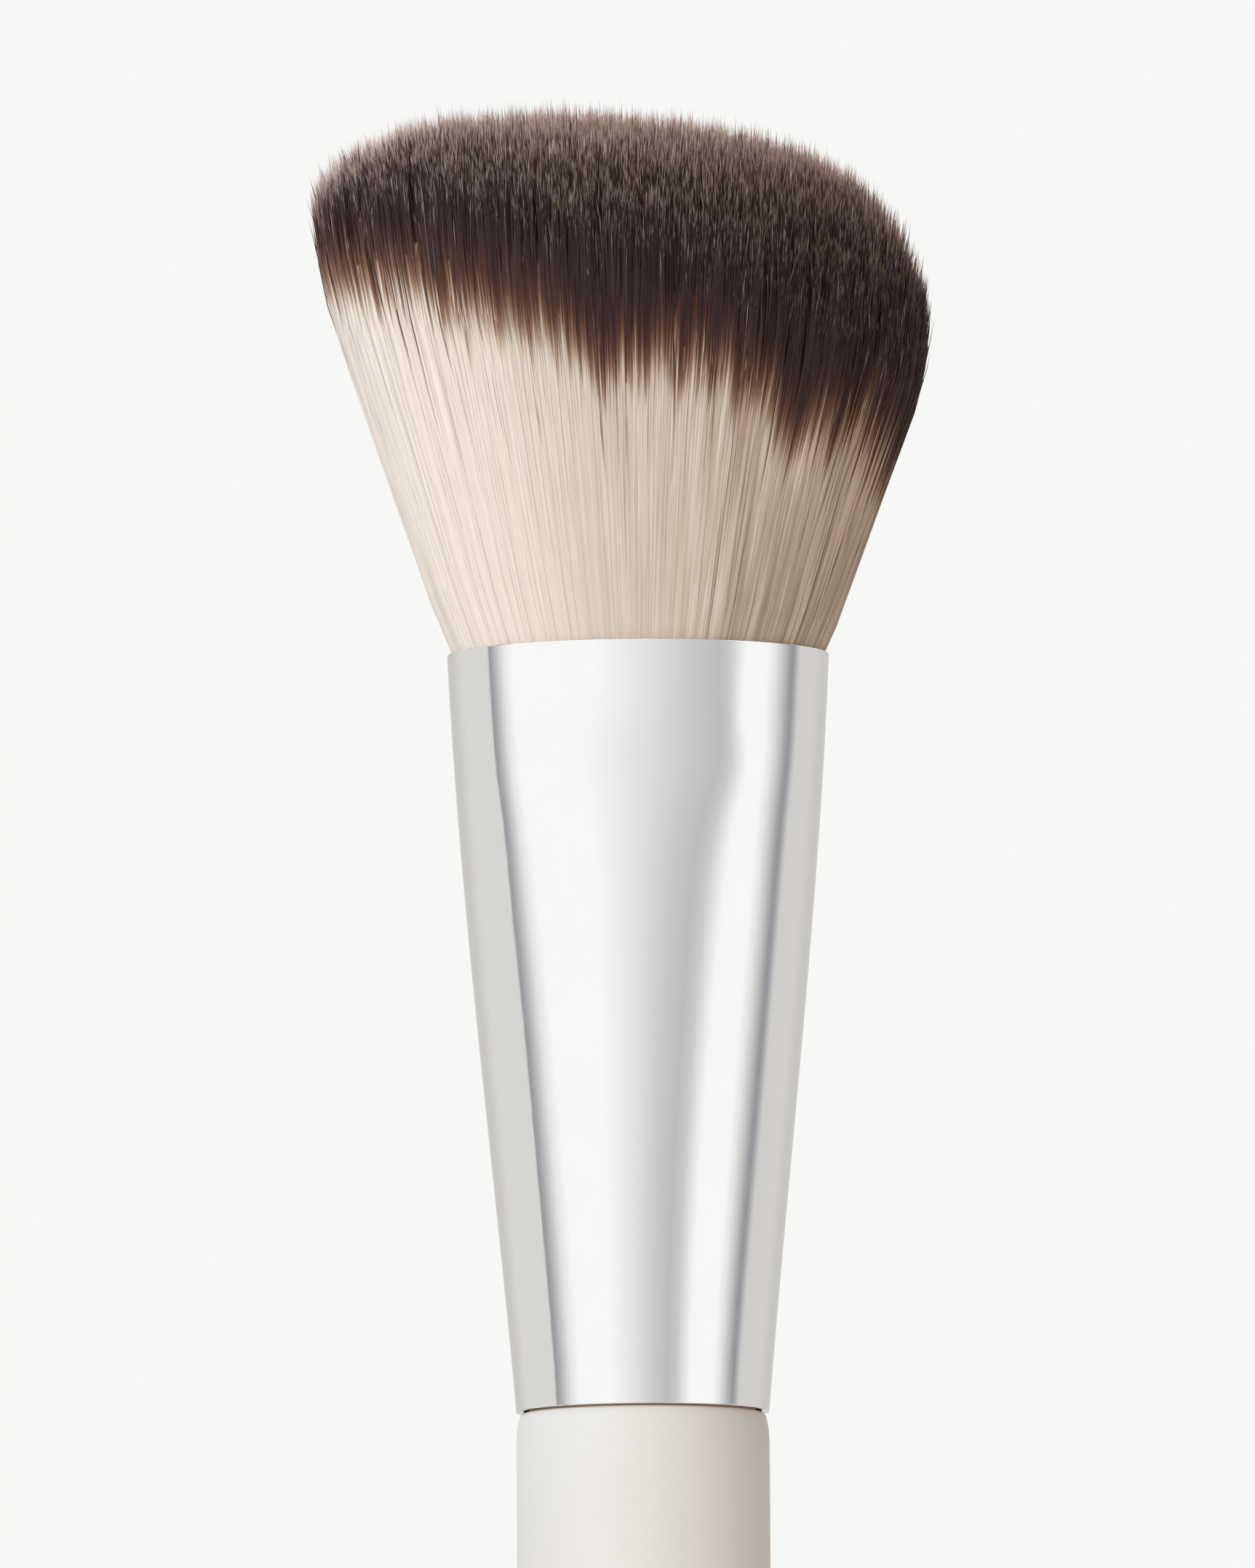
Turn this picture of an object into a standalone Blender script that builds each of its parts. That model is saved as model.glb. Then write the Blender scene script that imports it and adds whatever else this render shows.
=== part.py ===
"""A sculpting brush for the face: a slanted, domed head of tapered filaments in a swaged metal
ferrule, on a round lacquered handle. It stands on its butt at the origin, the head is up, its tall
side is at -X, and the wide side of the ferrule's mouth runs along X. All sizes are in metres."""

import math

import bmesh
import bpy

# Between pieces that rest on or hold each other
CLEARANCE = 0.0003
# Points of one outline closer than this are one point
MERGE_DISTANCE = 0.000005

# Handle, measured from its butt
HANDLE_LENGTH = 0.096
HANDLE_DIAMETER = 0.01335
BUTT_DIAMETER = 0.0122
BUTT_EDGE_RADIUS = 0.0011
STRAIGHT_LENGTH = 0.034
SHOULDER_INSET = 0.00035
SHOULDER_DROP = 0.0017
TENON_SEAT_LENGTH = 0.003
TENON_CHAMFER = 0.0008
TENON_TO_ROOT = 0.007
GLUE_THICKNESS = 0.0002

# Ferrule, measured from its foot
FERRULE_LENGTH = 0.040
FERRULE_WALL = 0.0004
RIM_BEVEL = 0.0001
MOUTH_WIDTH = 0.0202
MOUTH_DEPTH = 0.0168
PRESSED_BY = 0.0011
PRESSED_LENGTH = 0.0066
PRESS_ROUNDING = 0.0003
FLARE_SWELL_SHARE = 0.48

# Filaments, measured from the ferrule's mouth
RESIN_BELOW_MOUTH = 0.0035
SLICE_THICKNESS = 0.0012
STRAND_GAP = 0.0001
SPLAY_HEIGHT = 0.016
SPLAY_WIDTH = 0.0312
SPLAY_DEPTH = 0.0228
CROWN_RISE = 0.0076
CROWN_WIDTH = 0.0342
CROWN_DEPTH = 0.0248
TALL_RIM_HEIGHT = 0.0236
SHORT_RIM_HEIGHT = 0.0161
DOME_HEIGHT = 0.0091
DOME_LEAN_SHARE = 0.19
POINT_SHARE = 0.08
DYED_LENGTH = 0.0056
DYE_FADE = 0.0016

# Potted root, under the slice, and the thread round it
ROOT_LENGTH = 0.012
THREAD_THICKNESS = 0.0006
THREAD_BAND_HEIGHT = 0.002
THREAD_ABOVE_ROOT_END = 0.003

# Counts and angles
SIDES = 48
HIDDEN_SIDES = 32
FERRULE_BANDS = 16
FITTED_BANDS = 4
BODY_STEPS = 8
EDGE_STEPS = 5
HEXAGON = 6
CELL_RINGS = 9
SWIRL_ANGLE = math.radians(35)
SHARP_ANGLE = math.radians(30)

# Heights above the ferrule's foot, but for the foot's own above the butt
FOOT_Z = HANDLE_LENGTH + CLEARANCE
RESIN_TOP = FERRULE_LENGTH - RESIN_BELOW_MOUTH
SLICE_BOTTOM = RESIN_TOP - SLICE_THICKNESS
ROOT_TOP = SLICE_BOTTOM - CLEARANCE
ROOT_BOTTOM = ROOT_TOP - ROOT_LENGTH
TENON_TOP = ROOT_BOTTOM - TENON_TO_ROOT


def clear_scene():
    for old in list(bpy.data.objects):
        bpy.data.objects.remove(old)


def linear(*srgb):
    """A colour as read from a screen, 0 to 255, made linear with full alpha."""
    shares = [value / 255 for value in srgb]
    return (*[s / 12.92 if s <= 0.04045 else ((s + 0.055) / 1.055) ** 2.4 for s in shares], 1)


def make_material(name, colour, roughness, metallic=0.0):
    material = bpy.data.materials.new(name)
    material.use_nodes = True
    shader = material.node_tree.nodes["Principled BSDF"]
    shader.inputs["Base Color"].default_value = colour
    shader.inputs["Roughness"].default_value = roughness
    shader.inputs["Metallic"].default_value = metallic
    return material


def make_dyed_material(name, root_colour, tip_colour, roughness):
    """Filament that is dyed for DYED_LENGTH below its tip and fades to its own colour under that."""
    material = make_material(name, root_colour, roughness)
    tree = material.node_tree
    distance = tree.nodes.new("ShaderNodeAttribute")
    distance.attribute_name = "below_tip"
    dye = tree.nodes.new("ShaderNodeMapRange")
    dye.inputs["From Min"].default_value = DYED_LENGTH + DYE_FADE
    dye.inputs["From Max"].default_value = DYED_LENGTH
    mix = tree.nodes.new("ShaderNodeMix")
    mix.data_type = "RGBA"
    colours = [socket for socket in mix.inputs if socket.type == "RGBA"]
    colours[0].default_value = root_colour
    colours[1].default_value = tip_colour
    tree.links.new(distance.outputs["Fac"], dye.inputs["Value"])
    tree.links.new(dye.outputs["Result"], mix.inputs["Factor"])
    result = [socket for socket in mix.outputs if socket.type == "RGBA"][0]
    tree.links.new(result, tree.nodes["Principled BSDF"].inputs["Base Color"])
    return material


def make_object(name, mesh, material, collection, parent, height=0.0):
    obj = bpy.data.objects.new(name, mesh)
    obj.location.z = height
    obj.parent = parent
    mesh.materials.append(material)
    collection.objects.link(obj)
    return obj


def mesh_from(bm, name):
    mesh = bpy.data.meshes.new(name)
    bm.to_mesh(mesh)
    bm.free()
    return mesh


def shade(mesh):
    """Smooth, but for its sharp edges."""
    mesh.shade_smooth()
    mesh.set_sharp_from_angle(angle=SHARP_ANGLE)
    return mesh


def settle(obj):
    """Takes the modifiers into the mesh and shades it."""
    bpy.context.view_layer.update()
    graph = bpy.context.evaluated_depsgraph_get()
    plain = obj.data
    obj.data = bpy.data.meshes.new_from_object(obj.evaluated_get(graph))
    obj.modifiers.clear()
    bpy.data.meshes.remove(plain)
    shade(obj.data)


def ellipse_ring(half_width, half_depth, z, sides):
    turns = [math.tau * i / sides for i in range(sides)]
    return [(half_width * math.cos(a), half_depth * math.sin(a), z) for a in turns]


def skin(bm, rings):
    """Quads through rings of equally many points, each ring anticlockwise seen from above."""
    loops = [[bm.verts.new(point) for point in ring] for ring in rings]
    for low, high in zip(loops, loops[1:]):
        for i in range(len(low)):
            j = (i + 1) % len(low)
            bm.faces.new((low[i], low[j], high[j], high[i]))
    return loops


def plug_mesh(name, rings):
    """A solid through rings from its bottom to its top."""
    bm = bmesh.new()
    loops = skin(bm, rings)
    bm.faces.new(reversed(loops[0]))
    bm.faces.new(loops[-1])
    return shade(mesh_from(bm, name))


def collar_mesh(name, rings):
    """A closed ring-shaped solid: up its outside, then down its inside."""
    bm = bmesh.new()
    skin(bm, rings + rings[:1])
    bmesh.ops.remove_doubles(bm, verts=bm.verts, dist=MERGE_DISTANCE)
    return shade(mesh_from(bm, name))


def flare(share):
    """How far the ferrule has opened, 0 at the foot to 1 at the mouth, a little ahead of a cone."""
    return share + FLARE_SWELL_SHARE * share * share * (1 - share)


def soft_least(a, b, rounding):
    """The lesser of two lengths, rounded over where they cross."""
    blend = min(max((1 + (b - a) / rounding) / 2, 0), 1)
    return b + (a - b) * blend - rounding * blend * (1 - blend)


def ferrule_outside(height):
    """Half the width and half the depth of the ferrule, height above its foot."""
    foot = HANDLE_DIAMETER / 2
    half_width = foot + (MOUTH_WIDTH / 2 - foot) * flare(height / FERRULE_LENGTH)
    deepest = (MOUTH_DEPTH + PRESSED_BY) / 2
    press_start = flare(1 - PRESSED_LENGTH / FERRULE_LENGTH)
    opening = foot + (deepest - foot) * flare(height / FERRULE_LENGTH) / press_start
    from_mouth = (FERRULE_LENGTH - height) / PRESSED_LENGTH
    pressed = (MOUTH_DEPTH + PRESSED_BY * from_mouth) / 2
    return half_width, soft_least(opening, pressed, PRESS_ROUNDING)


def bore_ring(height, inset, sides):
    """A ring that follows the ferrule's bore, inset from its wall."""
    half_width, half_depth = ferrule_outside(height)
    return ellipse_ring(
        half_width - FERRULE_WALL - inset, half_depth - FERRULE_WALL - inset, height, sides
    )


def tenon_radii():
    """The tenon where the ferrule's foot seats on it, and above that, where the glue goes."""
    seat = HANDLE_DIAMETER / 2 - FERRULE_WALL - CLEARANCE
    return seat, seat - CLEARANCE - GLUE_THICKNESS


def handle_profile():
    """The outline at +X from the tenon's top down to the middle of the butt."""
    radius = HANDLE_DIAMETER / 2
    butt = BUTT_DIAMETER / 2
    seat, tenon = tenon_radii()
    top = FOOT_Z + TENON_TOP
    seat_top = FOOT_Z + TENON_SEAT_LENGTH
    points = [(0, top), (tenon - TENON_CHAMFER, top), (tenon, top - TENON_CHAMFER)]
    points += [(tenon, seat_top), (seat, seat_top), (seat, HANDLE_LENGTH)]
    for i in range(EDGE_STEPS + 1):
        turn = math.pi / 2 * i / EDGE_STEPS
        out = SHOULDER_INSET * (math.sin(turn) - 1)
        down = SHOULDER_DROP * (math.cos(turn) - 1)
        points.append((radius + out, HANDLE_LENGTH + down))
    taper_top = HANDLE_LENGTH - STRAIGHT_LENGTH
    for i in range(BODY_STEPS + 1):
        share = i / BODY_STEPS
        narrowing = (radius - butt) * (1 - math.cos(math.pi * share)) / 2
        points.append((radius - narrowing, taper_top + (BUTT_EDGE_RADIUS - taper_top) * share))
    for i in range(1, EDGE_STEPS + 1):
        turn = math.pi / 2 * i / EDGE_STEPS
        out = BUTT_EDGE_RADIUS * (math.cos(turn) - 1)
        points.append((butt + out, BUTT_EDGE_RADIUS * (1 - math.sin(turn))))
    points.append((0, 0))
    return points


def make_handle(collection, parent):
    mesh = bpy.data.meshes.new("handle")
    points = [(x, 0, z) for x, z in handle_profile()]
    mesh.from_pydata(points, [(i, i + 1) for i in range(len(points) - 1)], [])
    lacquer = make_material("matt_lacquer", linear(232, 228, 222), 0.5)
    handle = make_object("handle", mesh, lacquer, collection, parent)
    screw = handle.modifiers.new("turned", "SCREW")
    screw.steps = SIDES
    screw.render_steps = SIDES
    screw.use_merge_vertices = True
    screw.merge_threshold = MERGE_DISTANCE
    settle(handle)
    return handle


def make_ferrule(collection, parent):
    heights = [FERRULE_LENGTH * i / FERRULE_BANDS for i in range(FERRULE_BANDS + 1)]
    bm = bmesh.new()
    skin(bm, [ellipse_ring(*ferrule_outside(height), height, SIDES) for height in heights])
    metal = make_material("bright_metal", linear(226, 227, 229), 0.12, 1.0)
    ferrule = make_object("ferrule", mesh_from(bm, "ferrule"), metal, collection, parent, FOOT_Z)
    wall = ferrule.modifiers.new("wall", "SOLIDIFY")
    wall.thickness = FERRULE_WALL
    wall.offset = -1
    wall.use_even_offset = True
    rim = ferrule.modifiers.new("rims", "BEVEL")
    rim.width = min(RIM_BEVEL, FERRULE_WALL / 3)
    rim.segments = 1
    rim.limit_method = "ANGLE"
    rim.angle_limit = SHARP_ANGLE
    settle(ferrule)
    return ferrule


def make_tenon_glue(collection, ferrule):
    """The adhesive between the tenon and the bore, from the seat to the tenon's chamfer."""
    inner = tenon_radii()[1] + CLEARANCE
    low = TENON_SEAT_LENGTH + CLEARANCE
    high = TENON_TOP - TENON_CHAMFER
    heights = [low + (high - low) * i / FITTED_BANDS for i in range(FITTED_BANDS + 1)]
    rings = [bore_ring(height, CLEARANCE, SIDES) for height in heights]
    rings += [ellipse_ring(inner, inner, height, SIDES) for height in (high, low)]
    glue = make_material("adhesive", linear(196, 178, 132), 0.35)
    make_object("tenon_glue", collar_mesh("tenon_glue", rings), glue, collection, ferrule)


def thread_heights():
    """The bottom and top of the thread's band."""
    low = ROOT_BOTTOM + THREAD_ABOVE_ROOT_END
    return low, low + THREAD_BAND_HEIGHT


def make_potted_root(collection, ferrule):
    """The filaments' ends in resin, with the groove that the thread draws into them."""
    low, high = thread_heights()
    groove_low = low - CLEARANCE
    groove_high = high + CLEARANCE
    floor_inset = THREAD_THICKNESS + 2 * CLEARANCE
    places = [(ROOT_BOTTOM, CLEARANCE), (groove_low, CLEARANCE)]
    places += [(groove_low, floor_inset), (groove_high, floor_inset)]
    for i in range(FITTED_BANDS + 1):
        places.append((groove_high + (ROOT_TOP - groove_high) * i / FITTED_BANDS, CLEARANCE))
    rings = [bore_ring(height, inset, HIDDEN_SIDES) for height, inset in places]
    resin = make_material("potting_resin", linear(176, 150, 104), 0.4)
    make_object("potted_root", plug_mesh("potted_root", rings), resin, collection, ferrule)


def make_binding_thread(collection, ferrule):
    low, high = thread_heights()
    inner = CLEARANCE + THREAD_THICKNESS
    places = [(low, CLEARANCE), (high, CLEARANCE), (high, inner), (low, inner)]
    rings = [bore_ring(height, inset, HIDDEN_SIDES) for height, inset in places]
    thread = make_material("waxed_thread", linear(226, 220, 206), 0.8)
    make_object("binding_thread", collar_mesh("binding_thread", rings), thread, collection, ferrule)


def fan_half(height, mouth_size, splay_size, crown_size):
    """Half the head's width or depth, height above the mouth: it opens less above the splay."""
    at_mouth = mouth_size / 2 - FERRULE_WALL - CLEARANCE
    even = min(height, SPLAY_HEIGHT)
    opened = at_mouth + (splay_size / 2 - at_mouth) * even / SPLAY_HEIGHT
    return opened + (crown_size - splay_size) / 2 * (height - even) / CROWN_RISE


def fan_halves(height):
    width = fan_half(height, MOUTH_WIDTH, SPLAY_WIDTH, CROWN_WIDTH)
    return width, fan_half(height, MOUTH_DEPTH, SPLAY_DEPTH, CROWN_DEPTH)


def place_on_fan(vert, height):
    """Moves a point from its place at the root along its line of the fan, to this height."""
    root_width, root_depth = fan_halves(-RESIN_BELOW_MOUTH)
    half_width, half_depth = fan_halves(height)
    vert.co.x *= half_width / root_width
    vert.co.y *= half_depth / root_depth
    vert.co.z = FERRULE_LENGTH + height


def tip_height(u, v):
    """Where the cut head ends above the mouth, for a place in the unit disc: a slanted dome."""
    slant = (SHORT_RIM_HEIGHT + TALL_RIM_HEIGHT + (SHORT_RIM_HEIGHT - TALL_RIM_HEIGHT) * u) / 2
    dome = DOME_HEIGHT * math.sqrt(max(1 - u * u - v * v, 0))
    return slant + dome * (1 + DOME_LEAN_SHARE * u)


def round_hexagon(x, y):
    """A place in the unit hexagon, moved so that the hexagon's rings become even circles. They turn
    a little outwards, so that no straight slit between strands runs through the head."""
    if not (x or y):
        return x, y
    sixth = math.tau / HEXAGON
    sector, within = divmod(math.atan2(x, y), sixth)
    across = within - sixth / 2
    radius = math.hypot(x, y) * math.cos(across) / math.cos(sixth / 2)
    turn = sixth * (sector + (1 + math.tan(across) / math.tan(sixth / 2)) / 2)
    turn += SWIRL_ANGLE * radius
    return radius * math.sin(turn), radius * math.cos(turn)


def root_disc():
    """The unit disc cut into a triangular cell for each strand."""
    bm = bmesh.new()
    bmesh.ops.create_circle(bm, cap_ends=True, cap_tris=True, segments=HEXAGON, radius=1)
    bmesh.ops.subdivide_edges(bm, edges=bm.edges, cuts=CELL_RINGS - 1, use_grid_fill=True)
    for vert in bm.verts:
        vert.co.x, vert.co.y = round_hexagon(vert.co.x, vert.co.y)
    return bm


def close_slice(bm):
    """Adds the slice's margin, its side along the bore and its underside."""
    edge_loop = [edge for edge in bm.edges if edge.is_boundary]
    for height in (RESIN_TOP, SLICE_BOTTOM):
        made = bmesh.ops.extrude_edge_only(bm, edges=edge_loop)["geom"]
        edge_loop = [item for item in made if isinstance(item, bmesh.types.BMEdge)]
        half_width, half_depth = ferrule_outside(height)
        for vert in [item for item in made if isinstance(item, bmesh.types.BMVert)]:
            turn = math.atan2(vert.co.y * half_width, vert.co.x * half_depth)
            vert.co.x = (half_width - FERRULE_WALL - CLEARANCE) * math.cos(turn)
            vert.co.y = (half_depth - FERRULE_WALL - CLEARANCE) * math.sin(turn)
            vert.co.z = height
    bmesh.ops.edgeloop_fill(bm, edges=edge_loop)
    bmesh.ops.recalc_face_normals(bm, faces=bm.faces)


def grow_strand(bm, below_tip, end_face):
    """Draws a strand's end from its cell at the root up to its point on the dome."""
    root_width, root_depth = fan_halves(-RESIN_BELOW_MOUTH)
    middle = end_face.calc_center_median()
    tip = tip_height(middle.x / root_width, middle.y / root_depth)
    point_length = POINT_SHARE * (tip + RESIN_BELOW_MOUTH)
    for vert in end_face.verts:
        place_on_fan(vert, tip - point_length)
        vert[below_tip] = point_length
    point = bmesh.ops.poke(bm, faces=[end_face])["verts"][0]
    point.co = middle
    place_on_fan(point, tip)
    point[below_tip] = 0


def make_tuft(collection, ferrule):
    """The strands, one from each cell of the slice of resin that they stand in."""
    bm = root_disc()
    below_tip = bm.verts.layers.float.new("below_tip")
    root_width, root_depth = fan_halves(-RESIN_BELOW_MOUTH)
    for vert in bm.verts:
        vert[below_tip] = tip_height(vert.co.x, vert.co.y) + RESIN_BELOW_MOUTH
        vert.co = (vert.co.x * root_width, vert.co.y * root_depth, RESIN_TOP)
    cells = list(bm.faces)
    close_slice(bm)
    bmesh.ops.inset_individual(bm, faces=cells, thickness=STRAND_GAP / 2, use_even_offset=True)
    strands = bmesh.ops.extrude_discrete_faces(bm, faces=cells)["faces"]
    for strand in strands:
        grow_strand(bm, below_tip, strand)
    print(f"tuft: {len(strands)} strands")
    filament = make_dyed_material("filament", linear(226, 210, 194), linear(58, 40, 40), 0.45)
    make_object("tuft", mesh_from(bm, "tuft"), filament, collection, ferrule)


def main():
    clear_scene()
    collection = bpy.data.collections.new("sculpting_brush")
    bpy.context.scene.collection.children.link(collection)
    brush = bpy.data.objects.new("brush", None)
    collection.objects.link(brush)
    make_handle(collection, brush)
    ferrule = make_ferrule(collection, brush)
    make_tenon_glue(collection, ferrule)
    make_potted_root(collection, ferrule)
    make_binding_thread(collection, ferrule)
    make_tuft(collection, ferrule)


main()
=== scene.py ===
# %% [markdown]
# # A sculpting brush
# The real brush has three things to see: a round wooden handle with a matt off-white lacquer,
# a ferrule, which is the thin bright metal tube that holds it all together, and a head of some
# tens of thousands of tapered filaments, cream with dark dyed ends, cut to a slanted dome.
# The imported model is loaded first. It says how large each piece is and where it goes, so all
# that is made here fits it, in metres, with the brush standing on its butt at the origin.

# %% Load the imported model
import math
from functools import partial

import bpy
import numpy as np
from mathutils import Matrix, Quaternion, Vector


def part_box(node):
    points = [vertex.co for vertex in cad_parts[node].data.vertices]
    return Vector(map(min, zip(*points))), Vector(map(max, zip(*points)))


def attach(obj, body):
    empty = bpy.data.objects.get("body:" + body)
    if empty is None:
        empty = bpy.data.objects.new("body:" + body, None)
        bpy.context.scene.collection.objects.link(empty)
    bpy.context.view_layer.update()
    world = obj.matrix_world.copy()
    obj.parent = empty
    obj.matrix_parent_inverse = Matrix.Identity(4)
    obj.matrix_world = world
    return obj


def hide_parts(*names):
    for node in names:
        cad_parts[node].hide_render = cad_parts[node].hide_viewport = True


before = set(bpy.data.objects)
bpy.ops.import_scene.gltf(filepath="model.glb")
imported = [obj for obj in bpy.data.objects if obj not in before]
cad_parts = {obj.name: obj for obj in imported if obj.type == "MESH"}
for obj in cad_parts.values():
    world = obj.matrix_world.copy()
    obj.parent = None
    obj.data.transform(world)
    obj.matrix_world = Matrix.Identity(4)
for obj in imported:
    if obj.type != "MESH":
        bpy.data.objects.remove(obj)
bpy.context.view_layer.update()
bpy.ops.object.select_all(action="DESELECT")
scene = bpy.context.scene

BODY = "root"
MM = 0.001
foot_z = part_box("ferrule")[0].z
mouth_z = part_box("ferrule")[1].z
mouth_half_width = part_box("ferrule")[1].x
handle_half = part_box("handle")[1].x
print("CAD nodes:", sorted(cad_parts))
print(f"the ferrule stands from {foot_z / MM:.1f} to {mouth_z / MM:.1f} mm")


def add_object(name, data):
    thing = bpy.data.objects.new(name, data)
    scene.collection.objects.link(thing)
    return thing


# %% [markdown]
# ## The camera
# The photograph was taken from a little over a metre away with a long lens, from below the
# brush and looking up at it by about six degrees: both rims of the ferrule show as arches.
# A long lens on a full-frame sensor gives the same flat perspective. The brush leans a third of
# a degree in the picture, and that lean is the camera's roll, so the brush itself stays upright.

# %% Camera
CAMERA_DISTANCE = 1.2
CAMERA_HEIGHT = 0.008
AIM = Vector((-0.0006, 0, 0.12947))
FOCAL_LENGTH_MM = 523.8
ROLL = math.radians(0.36)

camera = add_object("camera", bpy.data.cameras.new("camera"))
camera.data.lens = FOCAL_LENGTH_MM
camera.data.clip_start = 0.05
camera.location = (AIM.x, -CAMERA_DISTANCE, CAMERA_HEIGHT)
to_camera = camera.location - AIM
camera.rotation_mode = "QUATERNION"
camera.rotation_quaternion = to_camera.to_track_quat("Z", "Y") @ Quaternion((0, 0, 1), -ROLL)
scene.camera = camera
print(f"looks up by {math.degrees(math.asin(-to_camera.normalized().z)):.1f} degrees")

# %% [markdown]
# ## Small helpers for nodes
# A material is a small tree of nodes. One helper adds a node, sets its values and joins it to
# others, and the rest are made with it, so that each finish below is short to read.
# Colours are written as they are seen on a screen, from 0 to 255, and turned linear for Blender.

# %% Node helpers
def seen(red, green, blue):
    """A colour as it is seen on a screen, made linear."""
    shares = [value / 255 for value in (red, green, blue)]
    return (*[s / 12.92 if s <= 0.04045 else ((s + 0.055) / 1.055) ** 2.4 for s in shares], 1)


def add(tree, kind, settings=None, **inputs):
    """Adds a node. A value that is a socket is linked, any other is set."""
    node = tree.nodes.new(kind)
    for name, value in (settings or {}).items():
        setattr(node, name, value)
    for name, value in inputs.items():
        key = int(name[1:]) if name[0] == "_" else name.replace("_", " ")
        socket = node.inputs[key]
        if isinstance(value, bpy.types.NodeSocket):
            tree.links.new(value, socket)
        else:
            socket.default_value = value
    return node


def math_node(tree, operation, *values):
    inputs = {f"_{i}": value for i, value in enumerate(values)}
    return add(tree, "ShaderNodeMath", {"operation": operation}, **inputs).outputs[0]


def axes(tree, vector):
    """A vector's X, Y and Z."""
    return add(tree, "ShaderNodeSeparateXYZ", Vector=vector).outputs


def own_place(tree):
    """A place in the piece's own frame."""
    return add(tree, "ShaderNodeTexCoord").outputs["Object"]


def map_range(tree, value, from_min, from_max, to_min=0.0, to_max=1.0, smooth=False):
    kind = "SMOOTHSTEP" if smooth else "LINEAR"
    node = add(
        tree, "ShaderNodeMapRange", {"interpolation_type": kind},
        Value=value, From_Min=from_min, From_Max=from_max, To_Min=to_min, To_Max=to_max,
    )
    return node.outputs["Result"]


def mix_colours(tree, share, first, second, blend="MIX"):
    """Blends two colours. The node's sockets 6, 7 and 2 are its colour ones."""
    settings = {"data_type": "RGBA", "blend_type": blend}
    return add(tree, "ShaderNodeMix", settings, _0=share, _6=first, _7=second).outputs[2]


def ramp(tree, value, stops):
    """A colour ramp from (place, colour) pairs."""
    node = add(tree, "ShaderNodeValToRGB", Fac=value)
    marks = node.color_ramp.elements
    while len(marks) < len(stops):
        marks.new(1)
    for mark, (place, colour) in zip(marks, stops):
        mark.position = place
        mark.color = colour
    return node.outputs["Color"]


def blank_material(name, **principled):
    """A material with a Principled shader, and its tree and shader to work on."""
    material = bpy.data.materials.new(name)
    material.use_nodes = True
    shader = material.node_tree.nodes["Principled BSDF"]
    for key, value in principled.items():
        shader.inputs[key.replace("_", " ")].default_value = value
    return material, material.node_tree, shader


# %% [markdown]
# ## The studio
# What a viewer reads as polished metal is mostly the studio in it. Round this ferrule stand a
# white backdrop behind it and a broad curved sheet of light in front, bright at its sides and
# greyer towards the middle, with dim edges. Those dim edges are the two thin dark lines on the
# metal. The backdrop is the world's colour, which the camera sees as plain off-white.
# It also lights the brush softly, most from the left and from behind.
# The sheet is a bent mesh that only reflections see. Its light is a ramp across its own width,
# and it is narrower at the bottom, so the dark lines run inwards. It goes on far below the
# floor, so the metal mirrors light when one looks down at it, too.

# %% World
BACKDROP = seen(247, 247, 245)
MIRRORED_LEFT = (0.975, 0.955, 0.925, 1)
MIRRORED_RIGHT = (0.895, 0.87, 0.845, 1)
MIRRORED_FAR = (0.70, 0.68, 0.66, 1)
FAR_FROM = 0.55  # how far a direction points away from the camera where that tone begins
AMBIENT_LEFT = (0.66, 0.635, 0.65, 1)
AMBIENT_RIGHT = (0.21, 0.12, 0.0, 1)
FROM_BEHIND = (0.22, 0.29, 0.38, 1)

world = bpy.data.worlds.new("studio")
scene.world = world
world.use_nodes = True
tree = world.node_tree
tree.nodes.clear()
direction = axes(tree, add(tree, "ShaderNodeTexCoord").outputs["Generated"])
ray = add(tree, "ShaderNodeLightPath").outputs
side = map_range(tree, direction["X"], -1.0, 1.0, smooth=True)
ambient = mix_colours(tree, side, AMBIENT_LEFT, AMBIENT_RIGHT)
behind = map_range(tree, direction["Y"], 0.0, 1.0, smooth=True)
ambient = mix_colours(tree, behind, ambient, FROM_BEHIND, blend="ADD")
mirrored = mix_colours(tree, side, MIRRORED_LEFT, MIRRORED_RIGHT)
far = map_range(tree, direction["Y"], FAR_FROM, 1.0, smooth=True)
mirrored = mix_colours(tree, far, mirrored, MIRRORED_FAR)
shown = math_node(tree, "MAXIMUM", ray["Is Camera Ray"], ray["Is Transmission Ray"])
colour = mix_colours(tree, ray["Is Glossy Ray"], ambient, mirrored)
colour = mix_colours(tree, shown, colour, BACKDROP)
lit = add(tree, "ShaderNodeBackground", Color=colour)
add(tree, "ShaderNodeOutputWorld", Surface=lit.outputs["Background"])
scene.view_settings.view_transform = "Standard"

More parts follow.
